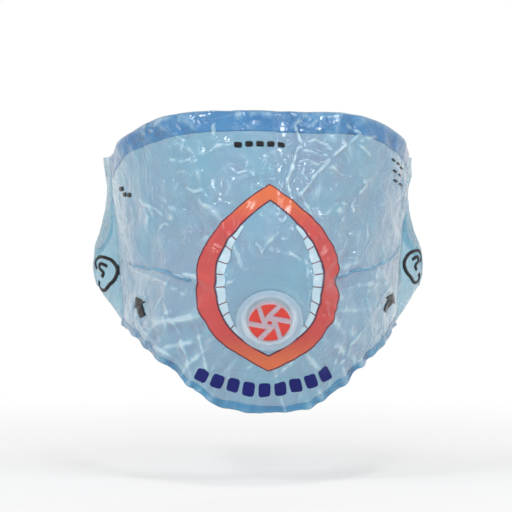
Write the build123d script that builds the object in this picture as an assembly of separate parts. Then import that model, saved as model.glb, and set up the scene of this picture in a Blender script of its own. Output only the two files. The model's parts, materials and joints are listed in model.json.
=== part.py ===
from build123d import *

import math
import os

# A resuscitation face shield, in the shape it takes when it is worn: a thin film that is
# tented over brow, nose and chin, two film ear loops, and a one-way valve clamped in the
# film over the mouth. All sizes are in millimetres.
# Frame: the origin is midway between the ears, +Z is up, and the face looks along -Y.

# The film, as worn
film_thickness = 0.4
layer_gap = 0.3  # between two layers of film, or a film and a hard part
temple_half_width = 74.5  # half the head's width at temple_height
jaw_half_width = 67.0  # half the head's width at jaw_height
brow_depth = 92.0  # from the ears' plane forward to the top edge
nose_depth = 118.0  # from the ears' plane forward to the film over the nose
brow_height = 46.0  # the top edge at the middle
temple_height = 29.0  # the top edge at the sides
brow_squareness = 5.0  # how late the top edge turns down towards the sides
nose_height = -15.0
jaw_height = -54.0  # the bottom edge at the sides
chin_height = -91.0  # the bottom edge at the middle
chin_half_width = 23.0  # the level stretch of the bottom edge
chin_corner = 6.0  # how softly that stretch turns up towards the jaw
seam_depth = 12.0  # the side edges lie this far in front of the ears' plane
roundness = 2.2  # exponent of the head's outline seen from above: 2 is an ellipse
nose_ridge = 22.0  # how far the nose lifts the film off that outline
nose_ridge_width = 22.0
nose_ridge_height = 25.0
nose_round = 12.0  # how softly the profile turns over the nose

# The bands of blue film behind the top and bottom edges
brow_band_width = 9.5
chin_band_width = 4.0
band_thickness = 0.3
band_inset = 0.6  # from the film's edge to the band's edge

# The ear loops
loop_thickness = 0.4
seam_gap = 0.3  # between the film's side edge and the loop
loop_depth = 38.0  # how far a loop reaches back from its seam
loop_top = 30.0
loop_flare = 14.0  # how far the lobe pushes the loop out
loop_lift = 3.0  # how far the loop stands off the head elsewhere
flare_height = -26.0
flare_reach = 18.0
slot_width = 24.0
slot_length = 36.0
slot_front_margin = 4.0  # from the seam to the slot
slot_bottom = -16.0

# The valve, along its own axis: 0 is the middle of the film, and + is the rescuer's side
valve_height = -48.6
valve_tilt = 25.0  # degrees that the valve looks down
flat_margin = 2.0  # the film is flat this far outside the flange
flat_blend = 22.0  # and takes its free shape over this distance
flange_radius = 15.0
flange_edge = 0.85  # thickness at the flange's rim
rim_height = 3.6  # the flat rim that the rescuer's lips meet
rim_outer_radius = 12.2
wall_radius = 10.4  # inside of the spigot
wall = 1.2
spigot_end = -5.0
running_gap = 0.1  # round what moves along the bore
press_gap = 0.05  # round what is pressed in or on
grille_recess = 0.4
grille_thickness = 1.3
window_radius = 9.4
spoke_count = 6
spoke_width = 2.0
spoke_offset = 2.3  # each spoke passes the axis at this distance
spoke_turn = -11.7  # direction of the first spoke, in degrees
hub_radius = 3.3
hub_hole_radius = 1.1

disc_radius = 9.9
disc_thickness = 0.6
disc_travel = 1.2
disc_boss_radius = 2.0
disc_boss = 0.3

cage_thickness = 1.5
cage_ring = 1.3
cage_rib_width = 1.4
cage_ribs = 3
filter_thickness = 0.9
guard_thickness = 1.2
guard_bar_width = 1.3
guard_bars = 4
cap_thickness = 0.9
clamp_outer_radius = 14.4
clamp_thickness = 1.7
clamp_chamfer = 0.6

# Follows from the sizes above
half_film = film_thickness / 2
film_free = half_film + layer_gap  # how far a hard part stays off the film's middle
housing_radius = wall_radius + wall
insert_radius = wall_radius - press_gap
grille_front = rim_height - grille_recess
grille_back = grille_front - grille_thickness
disc_front = grille_back - running_gap
disc_back = disc_front - disc_thickness - disc_boss
cage_front = disc_back - disc_travel - running_gap
cage_back = cage_front - cage_thickness
filter_front = cage_back - press_gap
filter_back = filter_front - filter_thickness
guard_front = filter_back - press_gap


def head_half_width(z):
    """Half the head's width at height z: it narrows evenly from temple to jaw."""
    share = (temple_height - z) / (temple_height - jaw_height)
    return temple_half_width + (jaw_half_width - temple_half_width) * share


def profile_depth(z):
    """How far the film's middle line lies in front of the ears' plane at height z."""
    above = (nose_depth - brow_depth) / (brow_height - nose_height)
    below = -math.tan(math.radians(valve_tilt))
    rise = z - nose_height
    bend = math.hypot(rise, nose_round) - nose_round
    return nose_depth - (above + below) / 2 * rise - (above - below) / 2 * bend


def ridge(z):
    """How much of that depth is the ridge over the nose."""
    return nose_ridge * math.exp(-(((z - nose_height) / nose_ridge_height) ** 2) / 2)


def edge_angle(z):
    """The angle from straight ahead to the side edge at height z."""
    share = 1 - (seam_depth / (profile_depth(z) - ridge(z))) ** roundness
    return math.atan2(head_half_width(z) * share ** (1 / roundness), seam_depth)


def seam_half_width(z):
    """How far the side edge lies from the middle plane at height z."""
    return seam_depth * math.tan(edge_angle(z))


valve_depth = profile_depth(valve_height)


def film_point(side, z):
    """A point on the film's middle surface. side runs from -1 at one edge to 1 at the other."""
    angle = side * edge_angle(z)
    depth = profile_depth(z) - ridge(z)
    across = (abs(math.sin(angle)) / head_half_width(z)) ** roundness
    ahead = (abs(math.cos(angle)) / depth) ** roundness
    radius = (across + ahead) ** (-1 / roundness)
    x = radius * math.sin(angle)
    y = -radius * math.cos(angle)
    y -= ridge(z) * math.exp(-((x / nose_ridge_width) ** 2) / 2)
    tilt = math.radians(valve_tilt)
    flat_y = -valve_depth - (z - valve_height) * math.tan(tilt)
    away = math.hypot(x, (z - valve_height) / math.cos(tilt))
    share = (away - flange_radius - flat_margin) / flat_blend
    share = min(max(share, 0.0), 1.0)
    share = share * share * (3 - 2 * share)
    return Vector(x, flat_y + (y - flat_y) * share, z)


def film_offset_point(side, z, offset):
    """The film point at that place, moved outwards by offset."""
    step = 0.002
    centre = film_point(side, z)
    across = film_point(side + step, z) - film_point(side - step, z)
    up = film_point(side, z + step * 100) - film_point(side, z - step * 100)
    return centre + across.cross(up).normalized() * offset


def middle_x(side):
    """How far from the middle plane the film lies at side, half way down the jaw."""
    return abs(film_point(side, (jaw_height + chin_height) / 2).X)


def top_edge(side):
    share = middle_x(side) / middle_x(1)
    return brow_height - (brow_height - temple_height) * share**brow_squareness


def turn_up(x):
    """Rises from nearly 0 to x - chin_half_width, round the chin's corner."""
    past = x - chin_half_width
    return (math.hypot(past, chin_corner) + past) / 2


def bottom_edge(side):
    share = (turn_up(middle_x(side)) - turn_up(0)) / (turn_up(middle_x(1)) - turn_up(0))
    return chin_height + (jaw_height - chin_height) * share


def film_patch(low, high, inside, outside, columns=61, rows=31, reach=1.0):
    """The solid between two offsets of the film surface, from height low(side) to high(side)."""

    def surface(offset):
        points = []
        for row in range(rows):
            line = []
            for column in range(columns):
                side = (2 * column / (columns - 1) - 1) * reach
                z = low(side) + (high(side) - low(side)) * row / (rows - 1)
                line.append(film_offset_point(side, z, offset))
            points.append(line)
        return Face.make_surface_from_array_of_points(points)

    outer = surface(outside)
    inner = surface(inside)
    pairs = zip(outer.edges(), inner.edges())
    walls = [Face.make_surface_from_curves(a, b) for a, b in pairs]
    return Solid(Shell([outer, inner, *walls]))


valve_plane = Plane(
    origin=(0, -valve_depth, valve_height),
    x_dir=(1, 0, 0),
    z_dir=(
        0,
        -math.cos(math.radians(valve_tilt)),
        -math.sin(math.radians(valve_tilt)),
    ),
)


def tube(outer, inner, low, high):
    """A ring round the valve's axis, or a disc where inner is 0."""
    height = high - low
    ring = Pos(0, 0, low + height / 2) * Cylinder(outer, height)
    if inner:
        ring -= Pos(0, 0, low + height / 2) * Cylinder(inner, height + 2)
    return ring


def spokes(count, width, length, low, high, offset=0.0, turn=0.0):
    """Bars from the axis outwards, each moved sideways by offset."""
    height = high - low
    bar = Pos(length / 2, offset, low + height / 2) * Box(length, width, height)
    return [Rot(0, 0, turn + 360 * k / count) * bar for k in range(count)]


def face_film():
    film = film_patch(bottom_edge, top_edge, -half_film, half_film)
    hole = Cylinder(housing_radius + layer_gap, 8 * film_thickness)
    return film - valve_plane * hole


def brow_band():
    return film_patch(
        lambda side: top_edge(side) - brow_band_width,
        lambda side: top_edge(side) - band_inset,
        -film_free - band_thickness,
        -film_free,
        rows=9,
        reach=0.985,
    )


def chin_band():
    return film_patch(
        lambda side: bottom_edge(side) + band_inset,
        lambda side: bottom_edge(side) + chin_band_width,
        -film_free - band_thickness,
        -film_free,
        rows=9,
        reach=0.985,
    )


def loop_x(y, z):
    """How far the loop lies from the middle plane: it bellies out where the lobe pushes it."""
    share = (y + seam_depth) / loop_depth
    push = math.exp(-(((z - flare_height) / flare_reach) ** 2) / 2)
    belly = (loop_lift + (loop_flare - loop_lift) * push) * math.sin(math.pi * 0.9 * share)
    return seam_half_width(z) + belly


def ear_loop():
    """The loop on the +X side: a flap with a slot, cut from a curved sheet."""
    front = -seam_depth + seam_gap
    back = -seam_depth + loop_depth
    margin = 4.0
    columns, rows = 21, 31
    points = []
    for row in range(rows):
        z = jaw_height - margin + (loop_top - jaw_height + 2 * margin) * row / (rows - 1)
        line = []
        for column in range(columns):
            y = front - margin + (loop_depth + 2 * margin) * column / (columns - 1)
            line.append(Vector(loop_x(y, z) - loop_thickness / 2, y, z))
        points.append(line)
    sheet = Face.make_surface_from_array_of_points(points)
    sheet = extrude(sheet, amount=loop_thickness, dir=(1, 0, 0))
    slot_top = slot_bottom + slot_length
    slot_back = -seam_depth + slot_front_margin + slot_width
    behind = back - slot_back  # width of the strip behind the ear
    outline = Polyline(
        (front, jaw_height),
        (slot_back - behind, (jaw_height + slot_bottom) / 2),
        (back, slot_bottom + behind / 2),
        (back, loop_top),
        (front, temple_height),
        close=True,
    )
    flap = make_face(outline)
    rear = flap.vertices().sort_by(Axis.X)[-3:]
    flap = fillet(rear, behind)
    slot = RectangleRounded(slot_width, slot_length, slot_width * 0.45)
    flap -= Pos(slot_back - slot_width / 2, slot_top - slot_length / 2) * slot
    cutter = extrude(Plane.YZ * flap, amount=2 * temple_half_width)
    return sheet & cutter


def valve_housing():
    """Flange, spigot and spoked grille in one moulding."""
    outline = Polyline(
        (wall_radius, spigot_end),
        (housing_radius, spigot_end),
        (housing_radius, film_free),
        (flange_radius, film_free),
        (flange_radius, film_free + flange_edge),
    )
    shoulder = ThreePointArc(
        (flange_radius, film_free + flange_edge),
        (
            rim_outer_radius + 0.6 * (flange_radius - rim_outer_radius),
            film_free + flange_edge + 0.62 * (rim_height - film_free - flange_edge),
        ),
        (rim_outer_radius, rim_height),
    )
    rim = Polyline(
        (rim_outer_radius, rim_height),
        (wall_radius + grille_recess, rim_height),
        (wall_radius, grille_front),
        (wall_radius, spigot_end),
    )
    body = revolve(Plane.XZ * make_face(outline + shoulder + rim), Axis.Z)
    grille = tube(wall_radius + press_gap, window_radius, grille_back, grille_front)
    bars = spokes(
        spoke_count,
        spoke_width,
        window_radius + running_gap,
        grille_back,
        grille_front,
        spoke_offset,
        spoke_turn,
    )
    grille += tube(hub_radius, 0, grille_back, grille_front)
    for bar in bars:
        grille += bar & tube(window_radius + running_gap, 0, grille_back, grille_front)
    grille -= tube(hub_hole_radius, 0, grille_back - 1, grille_front + 1)
    return valve_plane * (body + grille)


def valve_disc():
    """The loose red disc that opens for the rescuer's breath and shuts against the grille."""
    disc = tube(disc_radius, 0, disc_front - disc_thickness, disc_front)
    disc += tube(disc_boss_radius, 0, disc_back, disc_front - disc_thickness)
    return valve_plane * disc


def disc_cage():
    """The stop behind the disc: a ring with ribs that the air passes between."""
    ring = tube(insert_radius, insert_radius - cage_ring, cage_back, cage_front)
    ring += tube(disc_boss_radius + 1, 0, cage_back, cage_front)
    reach = insert_radius - cage_ring / 2
    for rib in spokes(cage_ribs, cage_rib_width, reach, cage_back, cage_front, turn=90):
        ring += rib
    return valve_plane * ring


def filter_disc():
    return valve_plane * tube(insert_radius, 0, filter_back, filter_front)


def filter_guard():
    """The plug that closes the patient's side, with bars in front of the filter."""
    cap_end = spigot_end - cap_thickness
    inner = insert_radius - cage_ring
    plug = tube(insert_radius, inner, cap_end, guard_front)
    plug += tube(housing_radius, inner, cap_end, spigot_end)
    back = guard_front - guard_thickness
    for bar in spokes(guard_bars, guard_bar_width, inner + 0.5, back, guard_front, turn=45):
        plug += bar
    return valve_plane * plug


def clamp_ring():
    """The ring pressed on the spigot from the patient's side, so that it holds the film."""
    inner = housing_radius + press_gap
    high = -film_free
    low = high - clamp_thickness
    outline = Polyline(
        (inner, low),
        (clamp_outer_radius - clamp_chamfer, low),
        (clamp_outer_radius, low + clamp_chamfer),
        (clamp_outer_radius, high),
        (inner, high),
        close=True,
    )
    return valve_plane * revolve(Plane.XZ * make_face(outline), Axis.Z)


def main():
    os.makedirs("parts", exist_ok=True)
    loop = ear_loop()
    pieces = {
        "face_film": face_film(),
        "brow_band": brow_band(),
        "chin_band": chin_band(),
        "ear_loop_left": mirror(loop, Plane.YZ),
        "ear_loop_right": loop,
        "valve_housing": valve_housing(),
        "valve_disc": valve_disc(),
        "disc_cage": disc_cage(),
        "filter_disc": filter_disc(),
        "filter_guard": filter_guard(),
        "clamp_ring": clamp_ring(),
    }
    for name, shape in pieces.items():
        export_step(shape, f"parts/{name}.step")
    print("valve centre", [round(v, 3) for v in valve_plane.origin])
    print("valve axis", [round(v, 5) for v in valve_plane.z_dir])
    for z in (temple_height, jaw_height):
        print("seam at", z, round(seam_half_width(z), 3), -seam_depth)
    print("levels", grille_back, disc_front, disc_back, cage_front, cage_back, guard_front)


main()
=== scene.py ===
import json
import math
import bmesh
import bpy
import numpy as np
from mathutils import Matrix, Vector, noise
from mathutils.bvhtree import BVHTree
from mathutils.geometry import delaunay_2d_cdt


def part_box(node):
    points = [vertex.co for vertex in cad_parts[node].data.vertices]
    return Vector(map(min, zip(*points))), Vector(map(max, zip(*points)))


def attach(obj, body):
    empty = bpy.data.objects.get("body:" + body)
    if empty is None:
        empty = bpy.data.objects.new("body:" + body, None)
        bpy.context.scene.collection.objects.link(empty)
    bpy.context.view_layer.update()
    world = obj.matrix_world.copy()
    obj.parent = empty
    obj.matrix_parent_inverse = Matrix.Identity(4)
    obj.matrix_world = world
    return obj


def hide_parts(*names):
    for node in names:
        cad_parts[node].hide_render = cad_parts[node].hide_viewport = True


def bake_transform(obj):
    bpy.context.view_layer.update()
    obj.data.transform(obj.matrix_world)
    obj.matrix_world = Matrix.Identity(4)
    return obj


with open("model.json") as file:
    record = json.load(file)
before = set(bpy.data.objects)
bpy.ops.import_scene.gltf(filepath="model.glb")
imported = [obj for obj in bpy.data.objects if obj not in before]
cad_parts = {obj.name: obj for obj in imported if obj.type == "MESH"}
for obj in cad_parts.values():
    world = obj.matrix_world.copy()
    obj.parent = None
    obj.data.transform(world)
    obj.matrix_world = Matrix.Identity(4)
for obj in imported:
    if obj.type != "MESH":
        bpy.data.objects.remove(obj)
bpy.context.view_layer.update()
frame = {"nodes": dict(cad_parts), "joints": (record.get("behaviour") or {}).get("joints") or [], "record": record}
mm = 0.001


def newPiece(name, bm, material, smooth=True):
    mesh = bpy.data.meshes.new(name)
    bm.to_mesh(mesh)
    bm.free()
    piece = bpy.data.objects.new(name, mesh)
    bpy.context.scene.collection.objects.link(piece)
    mesh.materials.append(material)
    for face in mesh.polygons:
        face.use_smooth = smooth
    return piece


def addThickness(piece, thickness, offset=0.0):
    wall = piece.modifiers.new("wall", "SOLIDIFY")
    wall.thickness = thickness
    wall.offset = offset
    wall.use_rim = True
    wall.use_even_offset = False


def meshOf(piece):
    depsgraph = bpy.context.evaluated_depsgraph_get()
    return bpy.data.meshes.new_from_object(piece.evaluated_get(depsgraph))


def treeOf(obj):
    bm = bmesh.new()
    bm.from_mesh(obj.data)
    tree = BVHTree.FromBMesh(bm)
    bm.free()
    return tree


def smoothstep(x):
    x = np.clip(x, 0.0, 1.0)
    return x * x * (3 - 2 * x)


def blurred(field, times):
    # averages a grid with its neighbours; the edges keep their slope
    for _ in range(times):
        for axis in (0, 1):
            padded = np.concatenate(
                [
                    2 * np.take(field, [0], axis) - np.take(field, [1], axis),
                    field,
                    2 * np.take(field, [-1], axis) - np.take(field, [-2], axis),
                ],
                axis,
            )
            count = field.shape[axis]
            before = np.take(padded, range(0, count), axis)
            after = np.take(padded, range(2, count + 2), axis)
            field = (before + 2 * field + after) / 4
    return field


def gridNormals(points):
    across = np.gradient(points, axis=1)
    up = np.gradient(points, axis=0)
    normal = np.cross(across, up)
    return normal / np.linalg.norm(normal, axis=2, keepdims=True)


def gridThrough(points, paintedFoldShading=None):
    # a grid whose vertices take the places in points, row by row, and carry the painted fold shade and highlight
    # when given
    rows, columns = points.shape[:2]
    bm = bmesh.new()
    layer = None if paintedFoldShading is None else bm.verts.layers.float.new("paintedFoldShading")
    bmesh.ops.create_grid(bm, x_segments=columns - 1, y_segments=rows - 1, size=0.5)
    order = sorted(bm.verts, key=lambda v: (round((v.co.y + 0.5) * (rows - 1)), v.co.x))
    for vertex, place in zip(order, points.reshape(-1, 3)):
        vertex.co = place
    if paintedFoldShading is not None:
        for vertex, value in zip(order, paintedFoldShading.reshape(-1)):
            vertex[layer] = value
    return bm, order


def sheetMesh(name, points, material, keep=None, paintedFoldShading=None):
    bm, order = gridThrough(points, paintedFoldShading)
    if keep is not None:
        gone = [v for v, stays in zip(order, keep.reshape(-1)) if not stays]
        bmesh.ops.delete(bm, geom=gone, context="VERTS")
    return newPiece(name, bm, material)


def newMaterial(name, color, roughness, alpha=1.0):
    material = bpy.data.materials.new(name)
    material.use_nodes = True
    material.surface_render_method = "DITHERED"
    shader = material.node_tree.nodes["Principled BSDF"]
    shader.inputs["Base Color"].default_value = (*color, 1)
    shader.inputs["Roughness"].default_value = roughness
    shader.inputs["Alpha"].default_value = alpha
    return material, material.node_tree, shader


def node(tree, kind, **values):
    made = tree.nodes.new(kind)
    for key, value in values.items():
        if key in made.inputs:
            made.inputs[key].default_value = value
        else:
            setattr(made, key, value)
    return made


def objectNoise(tree, **values):
    place = node(tree, "ShaderNodeTexCoord")
    made = node(tree, "ShaderNodeTexNoise", **values)
    tree.links.new(place.outputs["Object"], made.inputs["Vector"])
    return made.outputs["Fac"]


def twoTone(tree, shader, share, color, otherColor):
    # the base colour wanders between two colours
    mix = node(tree, "ShaderNodeMix", data_type="RGBA")
    mix.inputs["A"].default_value = (*color, 1)
    mix.inputs["B"].default_value = (*otherColor, 1)
    tree.links.new(share, mix.inputs["Factor"])
    tree.links.new(mix.outputs["Result"], shader.inputs["Base Color"])
    return mix


def addBump(tree, shader, height, strength, distance):
    bump = node(tree, "ShaderNodeBump", Strength=strength, Distance=distance)
    tree.links.new(height, bump.inputs["Height"])
    tree.links.new(bump.outputs["Normal"], shader.inputs["Normal"])
    return bump


filmFinish = {
    "tint": (0.005, 0.31, 0.50),
    "deepTint": (0.05, 0.25, 0.46),
    "tabTint": (0.16, 0.50, 0.66),
    # the next two tints are painted shade for the hollows of the folds and painted highlight for their crests
    "paintedHollowShade": (0.01, 0.12, 0.34),
    "paintedCrestHighlight": (0.56, 0.80, 0.91),
    "paintedShadingShare": 0.7,
    "wallAlpha": 0.56,
    "roughness": 0.2,
    "glossRoughness": 0.035,
    # crease network: cells per metre, ridge width in cells, share of the height
    "creases": [(75.0, 0.045, 1.0), (170.0, 0.07, 0.5), (420.0, 0.12, 0.16)],
    "creaseHeight": 0.0005,
    "creaseStrength": 0.8,
    "creaseShift": 0.006,
    # noise cells per metre, and the noise values between which each one works
    "cloud": (38.0, 0.38, 0.66),
    "patches": (32.0, 0.40, 0.62),
    "leastCrease": 0.25,
}


def creaseHeights(tree):
    # a fine network of creases, bent a little and stronger in patches
    place = node(tree, "ShaderNodeTexCoord")
    bent = node(tree, "ShaderNodeTexNoise", Scale=55.0, Detail=2.0)
    shift = node(tree, "ShaderNodeVectorMath", operation="MULTIPLY_ADD")
    shift.inputs[1].default_value = [filmFinish["creaseShift"]] * 3
    tree.links.new(place.outputs["Object"], bent.inputs["Vector"])
    tree.links.new(bent.outputs["Color"], shift.inputs[0])
    tree.links.new(place.outputs["Object"], shift.inputs[2])
    height = None
    for scale, width, share in filmFinish["creases"]:
        cells = node(tree, "ShaderNodeTexVoronoi", feature="DISTANCE_TO_EDGE", Scale=scale)
        ridge = node(tree, "ShaderNodeMapRange", interpolation_type="SMOOTHSTEP")
        ridge.inputs["From Max"].default_value = width
        ridge.inputs["To Min"].default_value = share
        ridge.inputs["To Max"].default_value = 0.0
        tree.links.new(shift.outputs["Vector"], cells.inputs["Vector"])
        tree.links.new(cells.outputs["Distance"], ridge.inputs["Value"])
        if height is None:
            height = ridge.outputs["Result"]
            continue
        added = node(tree, "ShaderNodeMath", operation="ADD")
        tree.links.new(height, added.inputs[0])
        tree.links.new(ridge.outputs["Result"], added.inputs[1])
        height = added.outputs["Value"]
    scale, low, high = filmFinish["patches"]
    strong = node(tree, "ShaderNodeMapRange")
    strong.inputs["From Min"].default_value = low
    strong.inputs["From Max"].default_value = high
    strong.inputs["To Min"].default_value = filmFinish["leastCrease"]
    faded = node(tree, "ShaderNodeMath", operation="MULTIPLY")
    tree.links.new(objectNoise(tree, Scale=scale, Detail=1.0), strong.inputs["Value"])
    tree.links.new(strong.outputs["Result"], faded.inputs[0])
    tree.links.new(height, faded.inputs[1])
    return faded.outputs["Value"]


def makeFilm(name, tint, deepTint, wallAlpha):
    material, tree, shader = newMaterial(name, tint, filmFinish["roughness"], wallAlpha)
    shader.inputs["IOR"].default_value = 1.52
    shader.inputs["Specular IOR Level"].default_value = 0.35
    shader.inputs["Coat Weight"].default_value = 0.9
    shader.inputs["Coat Roughness"].default_value = filmFinish["glossRoughness"]
    shader.inputs["Coat IOR"].default_value = 1.55
    scale, low, high = filmFinish["cloud"]
    ramp = node(tree, "ShaderNodeMapRange")
    ramp.inputs["From Min"].default_value = low
    ramp.inputs["From Max"].default_value = high
    cloud = objectNoise(tree, Scale=scale, Detail=5.0, Roughness=0.65)
    tree.links.new(cloud, ramp.inputs["Value"])
    mix = twoTone(tree, shader, ramp.outputs["Result"], tint, deepTint)
    # painted shade and painted highlight: the film is painted deeper in the hollows of its folds and paler along
    # their crests
    paintedFoldShading = node(tree, "ShaderNodeAttribute", attribute_name="paintedFoldShading")
    color = mix.outputs["Result"]
    for end, paintedLightTint in ((-1.0, filmFinish["paintedHollowShade"]), (1.0, filmFinish["paintedCrestHighlight"])):
        side = node(tree, "ShaderNodeMapRange")
        side.inputs["From Max"].default_value = end
        side.inputs["To Max"].default_value = filmFinish["paintedShadingShare"]
        blend = node(tree, "ShaderNodeMix", data_type="RGBA")
        blend.inputs["B"].default_value = (*paintedLightTint, 1)
        tree.links.new(paintedFoldShading.outputs["Fac"], side.inputs["Value"])
        tree.links.new(side.outputs["Result"], blend.inputs["Factor"])
        tree.links.new(color, blend.inputs["A"])
        color = blend.outputs["Result"]
    tree.links.new(color, shader.inputs["Base Color"])
    height = creaseHeights(tree)
    bump = addBump(tree, shader, height, filmFinish["creaseStrength"], filmFinish["creaseHeight"])
    tree.links.new(bump.outputs["Normal"], shader.inputs["Coat Normal"])
    return material


filmTint, deepTint = filmFinish["tint"], filmFinish["deepTint"]
clearFilm = makeFilm("clearFilm", filmTint, deepTint, filmFinish["wallAlpha"])
tabFilm = makeFilm("tabFilm", filmFinish["tabTint"], filmTint, 0.55)
browFilm = makeFilm("browFilm", (0.035, 0.27, 0.60), (0.015, 0.19, 0.50), 0.66)
chinFilm = makeFilm("chinFilm", (0.06, 0.38, 0.66), (0.03, 0.27, 0.58), 0.6)
foldFilm = makeFilm("foldFilm", (0.06, 0.44, 0.70), (0.03, 0.33, 0.62), 0.5)

print("film: reading its shape from the frame")

filmShape = {
    "columns": 271,
    "rows": 175,
    "edgeInset": 0.0004,
    "frontShare": 0.62,
    "thickness": 0.00022,
    "holeRadius": 0.0121,
    "flatRadius": 0.0166,
    "rimAboveFilm": 0.0036,
    "softening": 10,
    # round the valve: how far it reaches, and where the flat seat ends and the soft film starts
    "valveReach": 0.03,
    "valveDepth": -0.07,
    "seatEnd": 0.0155,
    "seatFade": 0.010,
}

joints = {joint["name"]: joint for joint in frame["joints"]}
mounts = {mount["name"]: mount for mount in frame["record"]["mounts"]}
seam = joints["ear_loop_right_fold"]
seamDepth = -seam["pos_m"][1]
valveFront = Vector(mounts["valve_face"]["axis"])
valveRim = Vector(mounts["valve_face"]["pos_m"])
valveRim.x = 0
valveCentre = valveRim - valveFront * filmShape["rimAboveFilm"]
filmTree = treeOf(frame["nodes"]["face_film"])
filmLow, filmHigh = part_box("face_film")


def seamHalfWidth(z):
    rise = (z - seam["pos_m"][2]) / seam["axis"][2]
    return seam["pos_m"][0] + seam["axis"][0] * rise


def rayHit(tree, angle, z):
    # the middle of the wall that a level ray from the head's axis meets
    start = Vector((0, 0, z))
    ahead = Vector((math.sin(angle), -math.cos(angle), 0))
    first = tree.ray_cast(start, ahead)[0]
    if first is None:
        return None
    second = tree.ray_cast(first + ahead * 1e-5, ahead, 0.003)[0]
    return (first + second) / 2 if second is not None else first


def filmAngle(side, z):
    return side * math.atan2(seamHalfWidth(z), seamDepth + filmShape["edgeInset"])


def filmHeights(side):
    # lowest and highest point of the film at this share of its width
    found = []
    for inside, outside in ((-0.03, filmLow.z - 0.002), (0.02, filmHigh.z + 0.002)):
        for _ in range(18):
            middle = (inside + outside) / 2
            if rayHit(filmTree, filmAngle(side, middle), middle) is None:
                outside = middle
            else:
                inside = middle
        found.append(inside)
    return found


def filmPlace(side, z):
    angle = filmAngle(side, z)
    ahead = Vector((math.sin(angle), -math.cos(angle), 0))
    reach = (valveCentre - Vector((0, 0, z))).dot(valveFront) / ahead.dot(valveFront)
    onPlane = Vector((0, 0, z)) + ahead * reach
    if abs(angle) < 0.5 and (onPlane - valveCentre).length < filmShape["flatRadius"]:
        return onPlane
    hit = rayHit(filmTree, angle, z)
    return hit if hit is not None else filmTree.find_nearest(onPlane)[0]


def columnSides():
    # closer together over the face's front than round its sides
    t = np.linspace(-1, 1, filmShape["columns"])
    share = filmShape["frontShare"]
    return share * t + (1 - share) * t**3


def readFilm():
    rows, columns = filmShape["rows"], filmShape["columns"]
    places = np.zeros((rows, columns, 3))
    for column, side in enumerate(columnSides()):
        low, high = filmHeights(side)
        for row in range(rows):
            z = low + (high - low) * row / (rows - 1)
            places[row, column] = filmPlace(side, z)
    return places


filmBase = readFilm()
toValve = filmBase - np.array(valveCentre)
alongAxis = (toValve @ np.array(valveFront))[..., None] * np.array(valveFront)
fromAxis = np.linalg.norm(toValve - alongAxis, axis=2)
nearValve = (fromAxis < filmShape["valveReach"]) & (filmBase[..., 1] < filmShape["valveDepth"])
seatFade = smoothstep((fromAxis - filmShape["seatEnd"]) / filmShape["seatFade"])
softShare = np.where(nearValve, seatFade, 1.0)[..., None]
softer = blurred(filmBase, filmShape["softening"])
filmBase = filmBase + (softer - filmBase) * softShare
filmOut = gridNormals(filmBase)
print("film: grid", filmBase.shape)

wrinkles = {
    "seed": 7.3,
    "broadHeight": 1.3,
    "broadSize": 30.0,
    # crumpled facets: corner spacing, corner height and seed, in millimetres
    "facets": [(15.0, 1.3, 11), (7.0, 0.85, 12), (4.2, 0.38, 13)],
    # where the film is crushed most: across, up and reach, in millimetres
    "crushed": [
        (28, 24, 26), (-54, 3, 11), (-32, 9, 10), (55, -40, 14), (40, -60, 13),
        (-52, -57, 13), (5, -8, 9), (26, -44, 9), (-38, 36, 12), (-24, -8, 9),
    ],
    "foldHeight": 2.1,
    "foldsFrom": -46,
    "foldsRound": 3.4,
    "chinWaveHeight": 1.0,
    "chinWaveSize": 11.0,
    "calmShare": 0.5,
    "paintedShadingSharpness": 0.32,
    "edgeRoll": 0.7,
    # shares of the height and of the half width over which the edges differ
    "rollShare": 0.018,
    "bottomShare": 0.07,
    "sideShare": 0.05,
    "calmChin": 0.45,
    "unevenCut": 1.4,
    # where the flange ends and how far from it the wrinkles grow to full height
    "calmValve": (15.6, 7),
    "strayCount": 95,
    "ridgeScale": 1.35,
    "ridgeWidth": 0.82,
}

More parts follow.
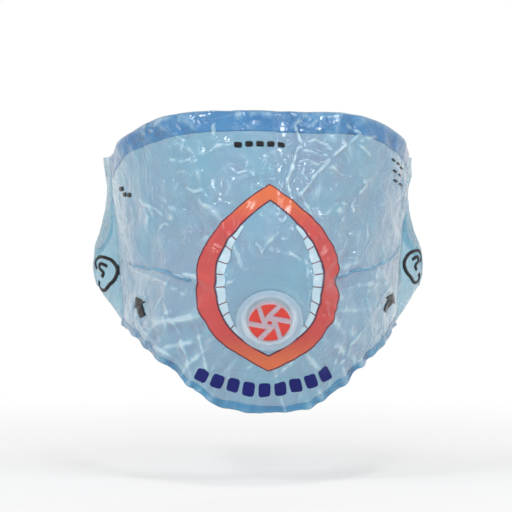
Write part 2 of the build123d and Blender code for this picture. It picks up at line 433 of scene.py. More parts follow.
# ridges of crushed film: height, width, then the places across and up, in millimetres
ridgeLines = [
    # pulled pleats from the ears to the corners of the mouth
    (1.1, 1.7, [(-65, -23.4), (-56, -25.6), (-46.7, -26.5), (-39, -29.4), (-33.6, -31.2)]),
    (1.1, 1.7, [
        (29.5, -30), (35, -28.6), (40.3, -26.5), (47, -25.8), (54.8, -23.3), (61, -20.5),
        (66.5, -15.1),
    ]),
    (0.5, 2.2, [(-63, -27), (-47, -31.5), (-36, -38)]),
    (0.5, 2.2, [(36, -35), (46, -33), (58, -33)]),
    # the crushed patch over the bridge of the nose and the brow
    (0.9, 1.8, [
        (9.8, 5.3), (8.0, 13.8), (11, 21.3), (13, 28.2), (15.3, 30.9), (12.1, 39.5), (16.7, 43.2),
    ]),
    (0.9, 1.8, [
        (9.8, 5.3), (14.7, 8.4), (18.5, 12.6), (19.9, 15.7), (25.8, 21.8), (29.9, 25.9),
        (34.4, 30), (33.5, 36),
    ]),
    (0.7, 1.7, [(15.3, 30.9), (21.2, 32.7), (26.7, 30), (29.9, 25.9)]),
    (0.7, 1.7, [(11, 21.3), (17, 23.5), (22, 21), (25.8, 21.8)]),
    (0.6, 1.6, [(13, 28.2), (19, 27.5), (24, 25.5), (29.9, 25.9)]),
    (0.6, 1.6, [(18.5, 12.6), (15, 17), (17, 23.5)]),
    (0.8, 1.8, [(34.9, 43), (37, 39), (41.7, 36), (38.5, 32.7), (34.4, 30)]),
    (0.7, 1.6, [(41.7, 36), (46, 34), (52, 35.5)]),
    (0.7, 1.6, [(38.5, 32.7), (44.4, 28.6), (49, 25)]),
    (0.6, 1.5, [(44, 17), (45.2, 12.1), (41, 6.5), (38.5, 2.6), (41, -2.5)]),
    (0.6, 1.5, [(38.5, 2.6), (33, 4.5), (28, 3)]),
    (0.5, 1.5, [(25.8, 21.8), (33, 17), (41, 16)]),
    # brow, eyes and cheeks
    (0.8, 1.6, [(-24.3, 42), (-24.6, 38), (-24, 33)]),
    (0.7, 1.6, [(-42, 37), (-39.5, 33.8), (-35, 31)]),
    (0.7, 1.5, [(-56, 40), (-53, 38), (-48, 36.5)]),
    (0.7, 1.6, [(-39, 12), (-32.6, 9.1), (-27, 10.5)]),
    (0.6, 1.5, [(-32.6, 9.1), (-30, 3.5), (-24, 1)]),
    (0.5, 1.5, [(-20, 22), (-14, 17), (-9, 18), (-4, 14)]),
    (0.7, 1.6, [(-59, 8), (-56.7, 4.6), (-50.1, 1.7), (-46, -3)]),
    (0.6, 1.5, [(-56.7, 4.6), (-53.9, -2), (-56, -8)]),
    # over the mouth
    (0.6, 1.5, [(-7.5, -12.5), (-4.4, -16.4), (-3.5, -21)]),
    (0.6, 1.5, [(2, -2), (5.4, -4.9), (8, -1.5)]),
    (0.5, 1.5, [(3.5, -10), (5.4, -12.4), (9, -12)]),
    (0.7, 1.6, [(13, 10), (15.6, 4.9), (18.5, -2), (20, -8.4), (24, -14)]),
    (0.8, 1.9, [(22, -38), (25.5, -41.8), (27, -47), (24.5, -52)]),
    (0.5, 1.5, [(-27, -12), (-24, -19), (-27, -26)]),
    # cheeks and chin
    (0.9, 1.8, [(61, -29), (59.2, -32.4), (53.5, -43), (50, -47)]),
    (0.8, 1.7, [(46.8, -52), (42, -57), (38.2, -60.5), (36.8, -66.5), (31, -71)]),
    (0.7, 1.6, [(58, -53), (55.3, -57), (50, -60)]),
    (0.8, 1.6, [(-60, -49), (-58.4, -52.4), (-51.2, -59.4), (-46.7, -63.3), (-40, -69)]),
    (0.7, 1.8, [(-47, -40), (-41, -52), (-36, -66), (-34, -76)]),
    (0.6, 1.8, [(-35, -46), (-29, -62), (-25, -78)]),
    (0.6, 1.8, [(-17, -72), (-19, -80), (-18, -88)]),
    (0.6, 1.8, [(12, -74), (15, -82), (14, -89)]),
    (0.6, 1.8, [(33, -60), (31, -70), (27, -83)]),
]

x = filmBase[..., 0] / mm
z = filmBase[..., 2] / mm
steps = np.linalg.norm(np.diff(filmBase, axis=1), axis=2)
across = np.concatenate([np.zeros((filmBase.shape[0], 1)), np.cumsum(steps, axis=1)], axis=1)
middleColumn = filmBase.shape[1] // 2
across = (across - across[:, middleColumn : middleColumn + 1]) / mm


def noiseField(size, seed, stretchX=1.0, stretchZ=1.0):
    field = np.zeros(x.shape)
    for index in np.ndindex(x.shape):
        spot = (across[index] / (size * stretchX), z[index] / (size * stretchZ), seed)
        field[index] = noise.noise(spot)
    return field


def facetField(spacing, height, seed):
    # flat facets between scattered corners, like film that was crushed and pulled out again
    draw = np.random.default_rng(seed)
    acrossSpots = np.arange(across.min() - 2 * spacing, across.max() + 2 * spacing, spacing)
    upSpots = np.arange(z.min() - 2 * spacing, z.max() + 2 * spacing, spacing)
    spots = np.stack(np.meshgrid(acrossSpots, upSpots), axis=-1).reshape(-1, 2)
    spots += draw.uniform(-0.45, 0.45, spots.shape) * spacing
    corners, _, faces = delaunay_2d_cdt([Vector(spot) for spot in spots], [], [], 0, 1e-6)[:3]
    heights = draw.uniform(-1, 1, len(corners)) * height
    tree = BVHTree.FromPolygons([(*corner, lift) for corner, lift in zip(corners, heights)], faces)
    field = np.zeros(x.shape)
    for index in np.ndindex(x.shape):
        field[index] = tree.ray_cast(Vector((across[index], z[index], 50)), Vector((0, 0, -1)))[0].z
    return blurred(field, 1)


def alongLine(points, u):
    # distance to a broken line, and how far along it the nearest point is
    best = np.full(x.shape, 1e9)
    along = np.zeros(x.shape)
    walked = 0.0
    for (u0, z0), (u1, z1) in zip(points, points[1:]):
        du, dz = u1 - u0, z1 - z0
        length = math.hypot(du, dz)
        share = np.clip(((u - u0) * du + (z - z0) * dz) / length**2, 0, 1)
        distance = np.hypot(u - u0 - share * du, z - z0 - share * dz)
        nearer = distance < best
        best = np.where(nearer, distance, best)
        along = np.where(nearer, walked + share * length, along)
        walked += length
    return best, along, walked


def creaseLine(points, height, width, u):
    distance, along, length = alongLine(points, u)
    ends = smoothstep(along / 4) * smoothstep((length - along) / 4)
    beat = points[0][0] + points[0][1]
    height = height * (0.72 + 0.40 * np.sin(0.9 * along + beat) * np.sin(0.37 * along + 1))
    width = width * (0.85 + 0.25 * np.sin(0.55 * along + 2 * beat))
    return height * np.clip(1 - distance / width, 0, 1) ** 1.2 * ends


def strayLines():
    # short ridges strewn over the whole film
    draw = np.random.default_rng(31)
    total = np.zeros(x.shape)
    for _ in range(wrinkles["strayCount"]):
        startAcross = draw.uniform(across.min(), across.max())
        points = [np.array([startAcross, draw.uniform(z.min(), z.max())])]
        turn = draw.uniform(0, 2 * math.pi)
        for _ in range(draw.integers(2, 5)):
            turn += draw.uniform(-0.7, 0.7)
            step = draw.uniform(3, 9) * np.array([math.cos(turn), math.sin(turn)])
            points.append(points[-1] + step)
        total += creaseLine(points, draw.uniform(0.2, 0.6), draw.uniform(1.1, 2.0), across)
    return total


def chinFolds():
    # soft folds that run out from the valve to the chin's edge
    below = wrinkles["foldsFrom"] - z
    turn = np.arctan2(across, below)
    away = np.hypot(across, below)
    field = np.zeros(x.shape)
    for index in np.ndindex(x.shape):
        turned = np.array([math.sin(turn[index]), math.cos(turn[index])]) * wrinkles["foldsRound"]
        spot = (*turned, away[index] / 55)
        fine = (*(turned * 2.6), away[index] / 40 + 8.8)
        field[index] = 0.65 - 2 * abs(noise.noise(spot)) + 0.5 * noise.noise(fine)
    return field * smoothstep((away - 17) / 26) * (0.25 + 0.75 * smoothstep((-z - 2) / 30))


rowShare = np.linspace(0, 1, x.shape[0])[:, None]
nearBottom = smoothstep(1 - rowShare / wrinkles["bottomShare"])
nearSides = smoothstep((1 - np.abs(columnSides())) / wrinkles["sideShare"])[None, :]
crushed = smoothstep((noiseField(30.0, 21.7) + 0.05) / 0.4)
for spotAcross, spotUp, reach in wrinkles["crushed"]:
    crushed = np.maximum(crushed, smoothstep(1.6 - np.hypot(x - spotAcross, z - spotUp) / reach))

calm = wrinkles["calmShare"]
creases = wrinkles["broadHeight"] * noiseField(wrinkles["broadSize"], wrinkles["seed"])
for spacing, height, seed in wrinkles["facets"]:
    creases += facetField(spacing, height, seed) * (calm + (1 - calm) * crushed)
creases += wrinkles["foldHeight"] * chinFolds()
creases += strayLines()
for height, width, points in ridgeLines:
    ridge = creaseLine(points, height, width * wrinkles["ridgeWidth"], x)
    creases += wrinkles["ridgeScale"] * ridge
creases += wrinkles["chinWaveHeight"] * nearBottom * noiseField(wrinkles["chinWaveSize"], 3.3) * 1.6
nearTop = np.clip(1 - (1 - rowShare) / wrinkles["rollShare"], 0, 1)
creases -= wrinkles["edgeRoll"] * nearTop**1.5
creases *= 0.15 + 0.85 * nearSides
creases *= 1 - wrinkles["calmChin"] * smoothstep((-z - 68) / 8) * (1 - nearBottom)
flangeEnd, fullFrom = wrinkles["calmValve"]
fade = smoothstep((fromAxis / mm - flangeEnd) / fullFrom)
creases = np.where(nearValve, creases * fade, creases)
filmPlaces = filmBase + filmOut * (creases * mm)[..., None]
unevenCut = np.array([noise.noise((place / 9.0, 6.1, 0)) for place in across[0]])
filmPlaces[..., 2] += nearBottom * unevenCut[None, :] * wrinkles["unevenCut"] * mm * nearSides

print("film: building")
keep = ~(nearValve & (fromAxis < filmShape["holeRadius"]))
# painted shade and highlight mask: how far each place lies below or above its softened surroundings
paintedFoldShading = np.clip((creases - blurred(creases, 6)) / wrinkles["paintedShadingSharpness"], -1, 1)
paintedFoldShading = np.sign(paintedFoldShading) * np.abs(paintedFoldShading) ** 1.5
film = sheetMesh("film", filmPlaces, clearFilm, keep, paintedFoldShading)
addThickness(film, filmShape["thickness"])
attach(film, "shield")
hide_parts("face_film")

print("bands: brow and chin")

bandShape = {
    "browWidth": 9.8,
    "browInset": 0.5,
    "chinWidth": 3.6,
    "chinInset": 0.3,
    "browUneven": 1.2,
    "browFlare": 1.5,
    "chinUneven": 1.6,
    "rows": 17,
    "thickness": 0.00056,
}


def bandAlong(name, fromHeights, toHeights, material):
    # a strip on both faces of the film, between two heights on each of its columns
    rows = bandShape["rows"]
    places = np.zeros((rows, filmPlaces.shape[1], 3))
    paintedFoldShadings = np.zeros((rows, filmPlaces.shape[1]))
    for column in range(filmPlaces.shape[1]):
        heights = np.linspace(fromHeights[column], toHeights[column], rows)
        known = filmPlaces[:, column, 2]
        for axis in range(3):
            places[:, column, axis] = np.interp(heights, known, filmPlaces[:, column, axis])
        # the bands take the film's painted fold shade and highlight too
        paintedFoldShadings[:, column] = np.interp(heights, known, paintedFoldShading[:, column])
    band = sheetMesh(name, places[:, 2:-2], material, paintedFoldShading=paintedFoldShadings[:, 2:-2])
    addThickness(band, bandShape["thickness"])
    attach(band, "shield")
    return band


topHeights = filmPlaces[-1, :, 2]
bottomHeights = filmPlaces[0, :, 2]
sides = columnSides()
unevenBrow = np.array([noise.noise((side * 4, 3.1, 0)) for side in sides])
unevenChin = np.array([noise.noise((side * 9, 8.4, 0)) for side in sides])
flare = bandShape["browFlare"] * np.clip(-sides - 0.6, 0, 1) / 0.4
browWidths = bandShape["browWidth"] + bandShape["browUneven"] * unevenBrow + flare
chinWidths = bandShape["chinWidth"] + bandShape["chinUneven"] * unevenChin
browTop = topHeights - bandShape["browInset"] * mm
chinLow = bottomHeights + bandShape["chinInset"] * mm
browBand = bandAlong("browBand", topHeights - browWidths * mm, browTop, browFilm)
chinBand = bandAlong("chinBand", chinLow, bottomHeights + chinWidths * mm, chinFilm)
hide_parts("brow_band")
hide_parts("chin_band")

print("ear loops")

loopShape = {
    "slotWidth": 0.024,
    "slotHeight": 0.036,
    "slotCorner": 2.6,
    "cornerRadius": 0.010,
    "rings": 22,
    "spacing": 0.0011,
    "bendStart": -0.0120,
    "bendEnd": -0.0040,
    "topInset": 0.0008,
    "edgeInset": 0.0004,
    "ruffle": 0.0010,
    "fineRuffle": 0.0005,
    "ruffleGrows": 0.008,
}


def roundedOutline(corners, spacing):
    # walks round a closed outline; each corner is (y, z, radius)
    walk = []
    count = len(corners)
    for index, (y, z, radius) in enumerate(corners):
        here = Vector((y, z))
        toLast = (Vector(corners[index - 1][:2]) - here).normalized()
        toNext = (Vector(corners[(index + 1) % count][:2]) - here).normalized()
        if radius == 0:
            walk.append(here)
            continue
        half = toLast.angle(toNext) / 2
        cut = radius / math.tan(half)
        for share in np.linspace(0, 1, 9):
            first = here + toLast * cut * (1 - share)
            second = here + toNext * cut * share
            walk.append(first.lerp(second, share))
    points = []
    for start, end in zip(walk, walk[1:] + walk[:1]):
        pieces = max(1, round((end - start).length / spacing))
        points += [start.lerp(end, k / pieces) for k in range(pieces)]
    return points


def loopPlaces(side, tree):
    low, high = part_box("ear_loop_right")
    slot = Vector(mounts["ear_right"]["pos_m"][1:])
    slotBack = slot.x + loopShape["slotWidth"] / 2
    radius = loopShape["cornerRadius"]
    corners = [
        (-seamDepth, high.z - loopShape["topInset"], 0),
        (-seamDepth, low.z + loopShape["edgeInset"], 0),
        (slotBack - radius, (low.z + slot.y - loopShape["slotHeight"] / 2) / 2, radius),
        (high.y, slot.y - loopShape["slotHeight"] / 2 + radius / 2, radius),
        (high.y, high.z, radius),
    ]
    outline = roundedOutline(corners, loopShape["spacing"])
    places = np.full((loopShape["rings"], len(outline) + 1, 3), np.nan)
    for column, outer in enumerate(outline + outline[:1]):
        way = outer - slot
        power = loopShape["slotCorner"]
        reach = (
            abs(way.x / (loopShape["slotWidth"] / 2)) ** power
            + abs(way.y / (loopShape["slotHeight"] / 2)) ** power
        ) ** (-1 / power)
        inner = slot + way * reach
        for ring in range(loopShape["rings"]):
            y, z = inner.lerp(outer, ring / (loopShape["rings"] - 1))
            places[ring, column, 1:] = y, z
            start = Vector((side * 0.12, max(y, low.y + loopShape["edgeInset"]), z))
            hit = tree.ray_cast(start, Vector((-side, 0, 0)))[0]
            if hit is not None:
                places[ring, column, 0] = hit.x - side * 0.0002
    rings = np.arange(loopShape["rings"])
    for column in range(places.shape[1]):
        known = ~np.isnan(places[:, column, 0])
        places[:, column, 0] = np.interp(rings, rings[known], places[known, column, 0])
    wrapped = np.concatenate([places[:, -7:-1, 0], places[..., 0], places[:, 1:7, 0]], axis=1)
    places[..., 0] = blurred(wrapped, 4)[:, 6:-6]
    for index in np.ndindex(places.shape[:2]):
        _, y, z = places[index]
        spot = (y * 90, z * 60, side * 3.7)
        fine = (y * 260, z * 170, side * 9.1)
        ruffle = loopShape["ruffle"] * noise.noise(spot)
        ruffle += loopShape["fineRuffle"] * (0.5 - abs(noise.noise(fine)))
        free = min(max((y + seamDepth) / loopShape["ruffleGrows"], 0), 1)
        places[index][0] += side * ruffle * free
        if y < -seamDepth + 0.0008:
            places[index][0] = side * seamHalfWidth(z)
    return places


def makeLoop(name, nodeName, side):
    bm, _ = gridThrough(loopPlaces(side, treeOf(frame["nodes"][nodeName])))
    bmesh.ops.remove_doubles(bm, verts=bm.verts, dist=1e-6)
    bmesh.ops.recalc_face_normals(bm, faces=bm.faces)
    loop = newPiece(name, bm, tabFilm)
    addThickness(loop, filmShape["thickness"])
    loop.data = meshOf(loop)
    loop.modifiers.clear()
    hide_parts(nodeName)
    return loop


def bendWithLoop(piece):
    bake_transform(piece)


loopLeft = makeLoop("earLoopLeft", "ear_loop_left", -1)
loopRight = makeLoop("earLoopRight", "ear_loop_right", 1)
bendWithLoop(loopLeft)
bendWithLoop(loopRight)

print("prints")

printShape = {"proud": 0.00016, "linesProud": 0.00021, "pleatWidth": 1.3}


def makeInk(name, color, otherColor, gloss=0.5, roughness=0.2):
    material, tree, shader = newMaterial(name, color, roughness)
    shader.inputs["Specular IOR Level"].default_value = gloss
    patchy = objectNoise(tree, Scale=130.0, Detail=3.0)
    twoTone(tree, shader, patchy, color, otherColor)
    addBump(tree, shader, patchy, 0.2, 0.0003)
    return material


lipShade = {
    "red": ((0.56, 0.055, 0.062), (0.62, 0.085, 0.07)),
    "orange": (0.68, 0.15, 0.06),
    # height of the mouth's middle, and the distances from it where orange starts and is full
    "middle": -0.031,
    "orangeFrom": 0.022,
    "orangeFull": 0.038,
}


def makeLipInk():
    # red at the corners of the mouth, orange at its top and bottom
    material = makeInk("lipInk", *lipShade["red"])
    tree = material.node_tree
    patchy = next(link for link in tree.links if link.to_socket.name == "Base Color").from_node
    place = node(tree, "ShaderNodeTexCoord")
    parts = node(tree, "ShaderNodeSeparateXYZ")
    fromMiddle = node(tree, "ShaderNodeMath", operation="ADD")
    fromMiddle.inputs[1].default_value = -lipShade["middle"]
    size = node(tree, "ShaderNodeMath", operation="ABSOLUTE")
    reach = node(tree, "ShaderNodeMapRange", interpolation_type="SMOOTHSTEP")
    reach.inputs["From Min"].default_value = lipShade["orangeFrom"]
    reach.inputs["From Max"].default_value = lipShade["orangeFull"]
    orange = node(tree, "ShaderNodeMix", data_type="RGBA")
    orange.inputs["B"].default_value = (*lipShade["orange"], 1)
    tree.links.new(place.outputs["Object"], parts.inputs["Vector"])
    tree.links.new(parts.outputs["Z"], fromMiddle.inputs[0])
    tree.links.new(fromMiddle.outputs["Value"], size.inputs[0])
    tree.links.new(size.outputs["Value"], reach.inputs["Value"])
    tree.links.new(reach.outputs["Result"], orange.inputs["Factor"])
    tree.links.new(patchy.outputs["Result"], orange.inputs["A"])
    tree.links.new(orange.outputs["Result"], tree.nodes["Principled BSDF"].inputs["Base Color"])
    return material


lipInk = makeLipInk()
lineInk = makeInk("lineInk", (0.16, 0.015, 0.03), (0.12, 0.02, 0.05))
toothInk = makeInk("toothInk", (0.50, 0.69, 0.80), (0.58, 0.74, 0.84))
navyInk = makeInk("navyInk", (0.006, 0.009, 0.13), (0.010, 0.014, 0.17), gloss=0.2)
blackInk = makeInk("blackInk", (0.006, 0.006, 0.008), (0.015, 0.015, 0.018), gloss=0.2)

bareFilm = bpy.data.objects.new("bareFilm", meshOf(film))
smoothFilm = sheetMesh("smoothFilm", filmBase, clearFilm)
printTrees = {
    "film": treeOf(bareFilm),
    "smooth": treeOf(smoothFilm),
    "left": treeOf(loopLeft),
    "right": treeOf(loopRight),
}
bpy.data.objects.remove(bareFilm)
bpy.data.objects.remove(smoothFilm)


def fromFront(x, z):
    return Vector((x * mm, -0.3, z * mm)), Vector((0, 1, 0)), "film"


def onLeftLoop(y, z):
    return Vector((-0.2, y * mm, z * mm)), Vector((1, 0, 0)), "left"


def onRightLoop(y, z):
    return Vector((0.2, y * mm, z * mm)), Vector((-1, 0, 0)), "right"


def printPatch(name, points, view, ink):
    # points is a grid of flat places; each is thrown on the surface that the view names
    rows, columns = points.shape[:2]
    places = np.zeros((rows, columns, 3))
    for row in range(rows):
        for column in range(columns):
            start, way, surface = view(*points[row, column])
            if surface == "film":
                flat, outward = printTrees["smooth"].ray_cast(start, way)[:2]
                if flat is None:
                    flat, outward = printTrees["smooth"].find_nearest(start + way * 0.2)[:2]
                way = outward if outward.dot(way) > 0 else -outward
                start = flat - way * 0.008
            hit, normal = printTrees[surface].ray_cast(start, way)[:2]
            if hit is None:
                hit, normal = printTrees[surface].find_nearest(start + way * 0.008)[:2]
            if normal.dot(way) > 0:
                normal = -normal
            places[row, column] = hit - normal * filmShape["thickness"] / 2
    return sheetMesh(name, places, ink)


def joined(name, patches, above=False):
    bm = bmesh.new()
    for patch in patches:
        bm.from_mesh(patch.data)
    bmesh.ops.remove_doubles(bm, verts=bm.verts, dist=2e-5)
    bmesh.ops.recalc_face_normals(bm, faces=bm.faces)
    made = newPiece(name, bm, patches[0].data.materials[0])
    for patch in patches:
        bpy.data.objects.remove(patch)
    proud = printShape["linesProud"] if above else printShape["proud"]
    addThickness(made, filmShape["thickness"] + 2 * proud)
    made.data = meshOf(made)
    made.modifiers.clear()
    return made


def curveThrough(points, count):
    # a smooth line through the points, evenly spaced
    chain = [np.array(p, float) for p in points]
    chain = [2 * chain[0] - chain[1], *chain, 2 * chain[-1] - chain[-2]]
    line = []
    for a, b, c, d in zip(chain, chain[1:], chain[2:], chain[3:]):
        slope, bend, twist = c - a, 2 * a - 5 * b + 4 * c - d, 3 * b - a - 3 * c + d
        for t in np.linspace(0, 1, 24, endpoint=False):
            line.append(0.5 * (2 * b + slope * t + bend * t**2 + twist * t**3))
    line.append(chain[-2])
    line = np.array(line)
    walked = np.concatenate([[0], np.cumsum(np.linalg.norm(np.diff(line, axis=0), axis=1))])
    at = np.linspace(0, walked[-1], count)
    return np.stack([np.interp(at, walked, line[:, k]) for k in range(2)], axis=1)


def between(inner, outer, rows):
    shares = np.linspace(0, 1, rows)[:, None, None]
    return inner[None] * (1 - shares) + outer[None] * shares


def stroke(line, width, rows=3):
    way = np.gradient(line, axis=0)
    way /= np.linalg.norm(way, axis=1, keepdims=True)
    half = np.stack([-way[:, 1], way[:, 0]], axis=1) * width / 2
    return between(line + half, line - half, rows)


mouth = {
    # a plain open mouth, alike on both sides, in millimetres:
    # half width, reach up, reach down and the notch at its corners
    "outer": (32.0, 42.0, 41.5, 1.6),
    "inner": (24.0, 34.8, 35.0, 0.0),
    "middle": -30.0,
    "roundness": (2.0, 3.0),
    "notchShare": 0.12,
    "outline": 0.55,
    "toothWidth": 4.0,
    "teeth": 9,
    "gap": 0.45,
}


def mouthLine(key, side, below):
    # a quarter of an outline: from its top to the corner of the mouth, or from there to its bottom
    halfWidth, up, down, notchDepth = mouth[key]
    share = np.linspace(0, 1, 25) if below else np.linspace(1, 0, 25)
    notch = notchDepth * (1 - smoothstep(share / mouth["notchShare"]))
    away = halfWidth * (1 - share ** mouth["roundness"][below]) - notch
    height = mouth["middle"] + share * (-down if below else up)
    return curveThrough(np.stack([side * away, height], axis=1), 110)


def makeTeeth(gum):
    # a row along the inside of the lip, narrower towards both ends, with dark gaps
    count = len(gum)
    centre = np.array([0, mouth["middle"] - 1])
    inward = centre - gum
    inward /= np.linalg.norm(inward, axis=1, keepdims=True)
    place = np.linspace(0, 1, count)
    fullness = smoothstep(3 * place) * smoothstep(3 * (1 - place))
    widths = mouth["toothWidth"] * (0.35 + 0.65 * fullness)
    beat = np.abs(np.sin(place * math.pi * mouth["teeth"])) ** 0.35
    tips = gum + inward * (0.6 + widths * (0.82 + 0.18 * beat))[:, None]
    base = gum + inward * 0.6
    row = printPatch("teeth", between(base, tips, 9), fromFront, toothInk)
    gaps = []
    for k in range(1, mouth["teeth"]):
        at = round((count - 1) * (k + 0.1 * math.sin(2.3 * k)) / mouth["teeth"])
        line = np.linspace(base[at], tips[at], 8)
        gaps.append(printPatch("gap", stroke(line, mouth["gap"]), fromFront, lineInk))
    return row, gaps


def makeMouth():
    lips, lines, teeth = [], [], []
    for side in (-1, 1):
        for below in (0, 1):
            outer = mouthLine("outer", side, below)
            inner = mouthLine("inner", side, below)
            lips.append(printPatch("lip", between(inner, outer, 17), fromFront, lipInk))
            lines.append(printPatch("line", stroke(outer, mouth["outline"]), fromFront, lineInk))
            lines.append(printPatch("line", stroke(inner, mouth["outline"]), fromFront, lineInk))
        upper = mouthLine("inner", side, 0)[40:]
        lower = mouthLine("inner", side, 1)[1:76]
        row, gaps = makeTeeth(np.concatenate([upper, lower]))
        teeth.append(row)
        lines += gaps
    return joined("lips", lips), joined("mouthLines", lines, above=True), joined("teeth", teeth)


def turned(shape, angle):
    c, s = math.cos(angle), math.sin(angle)
    return shape @ np.array([[c, s], [-s, c]])


def bars(view, centres, sizes, turns, ink):
    patches = []
    for (u, v), (width, height), turn in zip(centres, sizes, turns):
        rows, columns = max(4, round(height / 0.5)), max(4, round(width / 0.5))
        shape = np.zeros((rows, columns, 2))
        for row, a in enumerate(np.linspace(-1, 1, rows)):
            for column, b in enumerate(np.linspace(-1, 1, columns)):
                soft = 1 - 0.14 * a**4 * b**4
                shape[row, column] = (b * width / 2 * soft, a * height / 2 * soft)
        patches.append(printPatch("bar", turned(shape, turn) + np.array([u, v]), view, ink))
    return patches


chinMarks = {
    "radius": 62.0,
    "centre": (-1.5, -18.6),
    "count": 9,
    "width": 5.4,
    "height": 6.2,
    "gap": 1.8,
}


def makeChinMarks():
    # equal bars along an arc under the mouth
    step = (chinMarks["width"] + chinMarks["gap"]) / chinMarks["radius"]
    turns = (np.arange(chinMarks["count"]) - (chinMarks["count"] - 1) / 2) * step
    middleAcross, middleUp = chinMarks["centre"]
    radius = chinMarks["radius"]
    centres = [
        (middleAcross + radius * math.sin(turn), middleUp - radius * math.cos(turn))
        for turn in turns
    ]
    sizes = [(chinMarks["width"], chinMarks["height"])] * len(turns)
    return joined("chinMarks", bars(fromFront, centres, sizes, turns, navyInk))


smallMarks = {
    "browBar": (3.4, 2.5),
    "browGap": 1.4,
    "browCount": 5,
    "browMiddle": (-4.0, 30.2),
    "right": [
        (59.5, 25.0), (62.5, 23.6), (65.0, 21.8), (60.5, 20.0), (63.5, 18.4), (61.5, 15.5),
        (64.5, 14.0),
    ],
    "left": [(-67.5, 12.0), (-66.0, 9.2), (-63.8, 8.8)],
    "sideBars": {"right": ((2.0, 1.1), -0.45), "left": ((1.7, 2.2), 0.2)},
}


def makeSmallMarks():
    patches = []
    middleAcross, middleUp = smallMarks["browMiddle"]
    step = smallMarks["browBar"][0] + smallMarks["browGap"]
    for k in range(smallMarks["browCount"]):
        u = middleAcross + (k - (smallMarks["browCount"] - 1) / 2) * step
        spot = (u, middleUp - 0.0035 * u * u)
        patches += bars(fromFront, [spot], [smallMarks["browBar"]], [0], blackInk)
    for side, (size, lean) in smallMarks["sideBars"].items():
        for spot in smallMarks[side]:
            patches += bars(fromFront, [spot], [size], [lean], blackInk)
    return joined("smallMarks", patches)


earSign = {
    # strokes of a plain ear: across and up, in millimetres
    "outline": [
        (3.4, 2.2), (4.2, 5.8), (1.6, 8.8), (-2.4, 8.0), (-4.5, 3.6), (-3.8, -1.6), (-1.6, -5.4),
        (0.4, -8.4), (2.6, -8.8), (3.7, -6.6), (2.8, -4.2),
    ],
    "curl": [(-1.4, 4.4), (1.0, 5.4), (1.7, 3.0), (0.1, 0.8), (0.9, -1.8)],
    "stroke": 1.6,
    "stretch": 1.7,
    "lean": 0.1,
}


def earLines(view, middle, size):
    patches = []
    for key in ("outline", "curl"):
        line = curveThrough(earSign[key], 60) * np.array([earSign["stretch"], 1]) * size
        line = turned(line, earSign["lean"]) + np.array(middle)
        patches.append(printPatch("ear", stroke(line, earSign["stroke"], 3), view, blackInk))
    return patches


arrowShape = {
    "length": 10.0,
    "neck": 4.5,
    "width": 3.0,
    "head": 7.0,
    "scale": 1.05,
    "squeeze": 0.8,
    # places on the film, and how far each arrow leans
    "left": ((-59.5, -44.0), 0.5),
    "right": ((61.0, -42.0), -0.5),
}


def arrow(side):
    middle, lean = arrowShape[side]
    half, neck = arrowShape["length"] / 2, arrowShape["neck"]
    mirror = np.array([-1, 1])
    up = np.linspace(-half, half - neck, 8)
    edge = np.stack([np.full(8, -arrowShape["width"] / 2), up], axis=1)
    shaft = between(edge, edge * mirror, 4)
    share = np.linspace(0, 1, 8)
    away = -arrowShape["head"] / 2 * (1 - share * 0.98)
    edge = np.stack([away, half - neck + neck * share], axis=1)
    tip = between(edge, edge * mirror, 6)
    patches = []
    for shape in (shaft, tip):
        shape = turned(shape * arrowShape["scale"], lean) * (arrowShape["squeeze"], 1)
        patches.append(printPatch("arrow", shape + np.array(middle), fromFront, blackInk))
    return patches


prints = list(makeMouth())
prints += [makeChinMarks(), makeSmallMarks()]
prints.append(joined("arrowLeft", arrow("left")))
prints.append(joined("arrowRight", arrow("right")))
pleats = []
for height, width, points in ridgeLines[:2]:
    line = stroke(curveThrough(points, 150), printShape["pleatWidth"], 4)
    pleats.append(printPatch("pleat", line, fromFront, foldFilm))
prints.append(joined("pleats", pleats, above=True))
for piece in prints:
    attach(piece, "shield")
leftSign = joined("earSignLeft", earLines(onLeftLoop, (-3.4, -29.0), 0.95))
rightSign = joined("earSignRight", earLines(onRightLoop, (-2.6, -25.5), 0.92))
for piece, loopBody in ((leftSign, "ear_loop_left"), (rightSign, "ear_loop_right")):
    bendWithLoop(piece)

print("valve: finishes")


valveFinish = {
    "plastic": (0.60, 0.75, 0.87),
    "roughness": 0.2,
    "wallAlpha": 0.36,
    "silicone": (0.80, 0.035, 0.02),
    "dustySilicone": (0.86, 0.07, 0.045),
    "felt": (0.86, 0.86, 0.84),
}


def makePlastic():
    color = valveFinish["plastic"]
    finish = (valveFinish["roughness"], valveFinish["wallAlpha"])
    material, tree, shader = newMaterial("valvePlastic", color, *finish)
    shader.inputs["Subsurface Weight"].default_value = 0.15
    shader.inputs["Subsurface Radius"].default_value = (0.002, 0.002, 0.003)
    shader.inputs["IOR"].default_value = 1.49
    milky = objectNoise(tree, Scale=160.0, Detail=3.0)
    paler = [min(1, c * 1.12) for c in color]
    twoTone(tree, shader, milky, color, paler)
    addBump(tree, shader, objectNoise(tree, Scale=900.0, Detail=2.0), 0.08, 0.0002)
    return material


def makeSilicone():
    red, dusty = valveFinish["silicone"], valveFinish["dustySilicone"]
    material, tree, shader = newMaterial("redSilicone", red, 0.38)
    shader.inputs["Sheen Weight"].default_value = 0.15
    twoTone(tree, shader, objectNoise(tree, Scale=350.0, Detail=4.0), red, dusty)
    return material


def makeFelt():
    material, tree, shader = newMaterial("filterFelt", valveFinish["felt"], 0.95)
    fibre = objectNoise(tree, Scale=1400.0, Detail=6.0, Roughness=0.8)
    addBump(tree, shader, fibre, 0.6, 0.0003)
    return material


def dress(nodeName, material):
    slots = frame["nodes"][nodeName].data.materials
    slots.clear()
    slots.append(material)


valvePlastic = makePlastic()
for nodeName in ("valve_housing", "disc_cage", "filter_guard", "clamp_ring"):
    dress(nodeName, valvePlastic)
dress("valve_disc", makeSilicone())
dress("filter_disc", makeFelt())


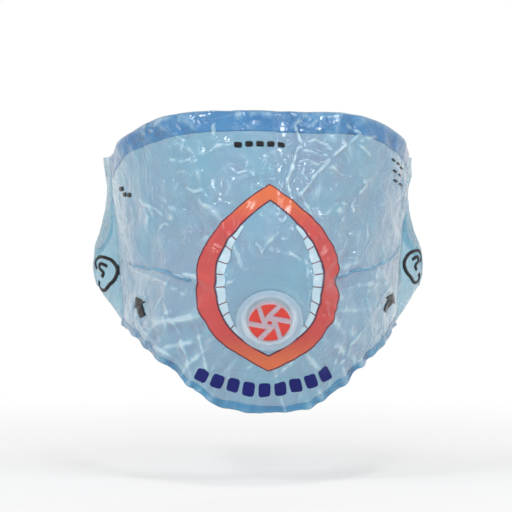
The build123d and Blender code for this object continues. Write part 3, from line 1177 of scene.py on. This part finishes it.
stage = {
    "floorHeight": -0.125,
    "floorSize": 6.0,
    "floorColor": (0.88, 0.88, 0.88),
    "shadowShare": 0.75,
    "shadowReach": 0.55,
    "worldStrength": 0.34,
}


def seenDirectly(tree):
    # 1 for rays that look at the background, straight or by a reflection
    rays = node(tree, "ShaderNodeLightPath")
    first = node(tree, "ShaderNodeMath", operation="MAXIMUM")
    second = node(tree, "ShaderNodeMath", operation="MAXIMUM")
    tree.links.new(rays.outputs["Is Camera Ray"], first.inputs[0])
    tree.links.new(rays.outputs["Is Glossy Ray"], first.inputs[1])
    tree.links.new(first.outputs["Value"], second.inputs[0])
    tree.links.new(rays.outputs["Is Transmission Ray"], second.inputs[1])
    return second.outputs["Value"]


def makeFloor():
    bm = bmesh.new()
    bmesh.ops.create_grid(bm, x_segments=8, y_segments=8, size=stage["floorSize"])
    bmesh.ops.translate(bm, verts=bm.verts, vec=(0, 0, stage["floorHeight"]))
    material, tree, shader = newMaterial("paleFloor", stage["floorColor"], 0.9)
    glow = node(tree, "ShaderNodeEmission", Strength=1.0)
    glow.inputs["Color"].default_value = (1, 1, 1, 1)
    share = node(tree, "ShaderNodeMath", operation="MULTIPLY")
    place = node(tree, "ShaderNodeTexCoord")
    away = node(tree, "ShaderNodeVectorMath", operation="LENGTH")
    reach = node(tree, "ShaderNodeMapRange", interpolation_type="SMOOTHSTEP")
    reach.inputs["From Max"].default_value = stage["shadowReach"]
    reach.inputs["To Min"].default_value = 1 - stage["shadowShare"]
    tree.links.new(place.outputs["Object"], away.inputs[0])
    tree.links.new(away.outputs["Value"], reach.inputs["Value"])
    tree.links.new(reach.outputs["Result"], share.inputs[1])
    mix = node(tree, "ShaderNodeMixShader")
    tree.links.new(seenDirectly(tree), share.inputs[0])
    tree.links.new(share.outputs["Value"], mix.inputs["Fac"])
    tree.links.new(shader.outputs["BSDF"], mix.inputs[1])
    tree.links.new(glow.outputs["Emission"], mix.inputs[2])
    tree.links.new(mix.outputs["Shader"], tree.nodes["Material Output"].inputs["Surface"])
    floor = newPiece("floor", bm, material)


def makeLamp(name, place, size, power, glossy):
    data = bpy.data.lights.new(name, "AREA")
    data.size = size
    data.energy = power
    lamp = bpy.data.objects.new(name, data)
    bpy.context.scene.collection.objects.link(lamp)
    lamp.location = place
    way = Vector(lampAim) - Vector(place)
    lamp.rotation_euler = way.to_track_quat("-Z", "Y").to_euler()
    lamp.visible_glossy = glossy


def makeWorld():
    world = bpy.data.worlds.new("studio")
    bpy.context.scene.world = world
    world.use_nodes = True
    tree = world.node_tree
    plain = tree.nodes["Background"]
    plain.inputs["Color"].default_value = (1, 1, 1, 1)
    plain.inputs["Strength"].default_value = stage["worldStrength"]
    white = node(tree, "ShaderNodeBackground", Strength=1.0)
    white.inputs["Color"].default_value = (1, 1, 1, 1)
    mix = node(tree, "ShaderNodeMixShader")
    tree.links.new(seenDirectly(tree), mix.inputs["Fac"])
    tree.links.new(plain.outputs["Background"], mix.inputs[1])
    tree.links.new(white.outputs["Background"], mix.inputs[2])
    tree.links.new(mix.outputs["Shader"], tree.nodes["World Output"].inputs["Surface"])


cameraPlace = {
    "aim": (-0.0015, 0, -0.020),
    "distance": 1.0,
    "turn": -2.4,
    "lens": 140.6,
    "sensor": 36,
}


def makeCamera():
    data = bpy.data.cameras.new("camera")
    data.lens = cameraPlace["lens"]
    data.sensor_width = cameraPlace["sensor"]
    camera = bpy.data.objects.new("camera", data)
    bpy.context.scene.collection.objects.link(camera)
    aim = Vector(cameraPlace["aim"])
    turn = math.radians(cameraPlace["turn"])
    away = Vector((math.sin(turn), -math.cos(turn), 0)) * cameraPlace["distance"]
    camera.location = aim + away
    camera.rotation_euler = (-away).to_track_quat("-Z", "Y").to_euler()
    bpy.context.scene.camera = camera


lampAim = (0, -0.05, -0.02)
lamps = {
    # place, size, power, and whether it is seen in reflections
    "softLeft": ((-0.9, -0.7, 0.8), 0.6, 3.0, False),
    "softBack": ((0.3, 1.2, 0.6), 0.8, 6.5, False),
    "keyLeft": ((-0.62, -0.72, 0.72), 0.17, 1.9, True),
    "keyRight": ((0.66, -0.74, 0.70), 0.19, 2.3, True),
    "keyTop": ((0.12, -0.45, 1.05), 0.18, 2.6, True),
    "flashFront": ((-0.20, -1.10, 0.32), 0.04, 1.0, True),
    "flashSide": ((0.42, -1.05, 0.18), 0.04, 0.8, True),
    "glintLow": ((0.30, -1.00, -0.50), 0.15, 0.9, True),
    "sideLeft": ((-1.1, -0.45, 0.15), 0.15, 1.0, True),
    "sideRight": ((1.15, -0.40, 0.10), 0.15, 1.0, True),
}

print("stage, lamps and camera")
makeFloor()
makeWorld()
for name, (place, size, power, glossy) in lamps.items():
    makeLamp(name, place, size, power, glossy)
makeCamera()
bpy.context.scene.view_settings.view_transform = "Standard"
